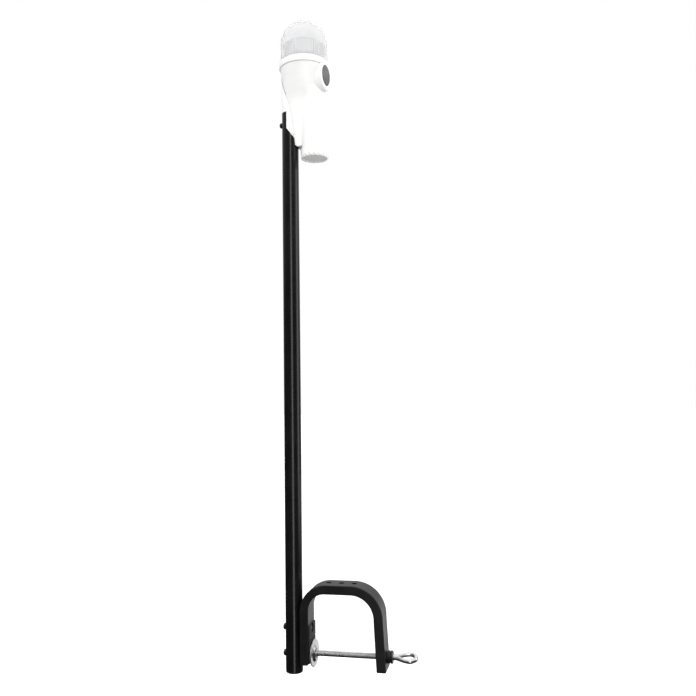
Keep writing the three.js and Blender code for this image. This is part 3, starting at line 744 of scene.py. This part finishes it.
shown = {m["node"]: m["material_slot"] for m in frame["record"]["subparts"]}
for name, piece in frame["nodes"].items():
    if piece.hide_render:
        continue
    piece.data.materials.clear()
    piece.data.materials.append(LOOKS[shown[name]])
    piece.data.polygons.foreach_set("use_smooth", [True] * len(piece.data.polygons))
    piece.data.set_sharp_from_angle(angle=math.radians(30))


# ---------------------------------------------------------------- studio

world = bpy.data.worlds.new("studio")
bpy.context.scene.world = world
world.use_nodes = True
tree = world.node_tree
tree.nodes.clear()
direction = node(tree, "ShaderNodeTexCoord").outputs["Generated"]
paths = node(tree, "ShaderNodeLightPath")


def glow(toward, low, high, start, end):
    """A white surround that brightens towards one side."""
    along = node(tree, "ShaderNodeVectorMath", operation="DOT_PRODUCT")
    along.inputs[1].default_value = toward
    link(tree, direction, along.inputs[0])
    made = node(tree, "ShaderNodeBackground", Color=(1, 1, 1, 1))
    link(tree, ranged(tree, along.outputs["Value"], low, high, start, end), made.inputs["Strength"])
    return made.outputs[0]


def choose(factor, first, second):
    made = node(tree, "ShaderNodeMixShader")
    for output, socket in zip((factor, first, second), made.inputs):
        link(tree, output, socket)
    return made.outputs[0]


# Soft light all round on the matt parts, a bright top and back for what the glossy ones reflect,
# and plain white behind everything.
room = choose(paths.outputs["Is Glossy Ray"],
              glow((0, 0, 1), 0.46, 1.6, -0.7, 0.5), glow((0, 0.25, 1.2), 0.02, 1.15, 0.1, 1))
backdrop = node(tree, "ShaderNodeBackground", Color=(1, 1, 1, 1), Strength=1.0)
seen = node(tree, "ShaderNodeMath", operation="MAXIMUM")
link(tree, paths.outputs["Is Camera Ray"], seen.inputs[0])
link(tree, paths.outputs["Is Transmission Ray"], seen.inputs[1])
link(tree, choose(seen.outputs[0], room, backdrop.outputs[0]),
     node(tree, "ShaderNodeOutputWorld").inputs["Surface"])

FLOOR_R = 60000
floor_ring = [(FLOOR_R * math.cos(math.pi * k / 32), FLOOR_R * math.sin(math.pi * k / 32)) for k in range(64)]
floor = raw(skin([[(x, y, -310) for x, y in floor_ring], [(x, y, -300) for x, y in floor_ring]]), "floor")
floor.data.materials.append(finish("floor_finish", (0.9, 0.9, 0.9), (0.93, 0.93, 0.93), (0.6, 0.7), 40))
floor.visible_glossy = False
floor.visible_diffuse = False

def softbox(name, at, target, size, watts, matt):
    light = bpy.data.lights.new(name, "AREA")
    light.diffuse_factor = matt
    light.shape = "RECTANGLE"
    light.size, light.size_y = size
    light.energy = watts
    made = bpy.data.objects.new(name, light)
    made.location = place(at)
    made.rotation_euler = (place(target) - place(at)).to_track_quat("-Z", "Y").to_euler()
    made.visible_camera = False
    bpy.context.scene.collection.objects.link(made)


softbox("key", (413, -1442, 380), (0, 0, 380), (0.4, 1.9), 7, 0.4)
softbox("right", (1500, 300, 500), (40, 0, 250), (0.8, 1.2), 5, 0.4)
softbox("low_back", (260, 900, -130), (50, 0, 40), (1.0, 0.5), 1.3, 0.2)

CAMERA_AT = (237.262, -820.906, 290.074)
CAMERA_HEADING = math.radians(11.835)
CAMERA_PITCH = math.radians(4.506)
CAMERA_ROLL = math.radians(0.798)
forward = Vector((-math.sin(CAMERA_HEADING) * math.cos(CAMERA_PITCH),
                  math.cos(CAMERA_HEADING) * math.cos(CAMERA_PITCH), math.sin(CAMERA_PITCH)))
right = Vector((math.cos(CAMERA_HEADING), math.sin(CAMERA_HEADING), 0))
up = right.cross(forward)
camera_x = right * math.cos(CAMERA_ROLL) - up * math.sin(CAMERA_ROLL)
camera_y = right * math.sin(CAMERA_ROLL) + up * math.cos(CAMERA_ROLL)
camera_data = bpy.data.cameras.new("camera")
camera_data.sensor_width = 36
camera_data.lens = 38.752
camera_data.clip_start = 0.01
camera = bpy.data.objects.new("camera", camera_data)
camera.matrix_world = Matrix((
    (camera_x.x, camera_y.x, -forward.x, 0), (camera_x.y, camera_y.y, -forward.y, 0),
    (camera_x.z, camera_y.z, -forward.z, 0), (0, 0, 0, 1)))
camera.location = place(CAMERA_AT)
bpy.context.scene.collection.objects.link(camera)
bpy.context.scene.camera = camera
bpy.context.scene.view_settings.view_transform = "Standard"
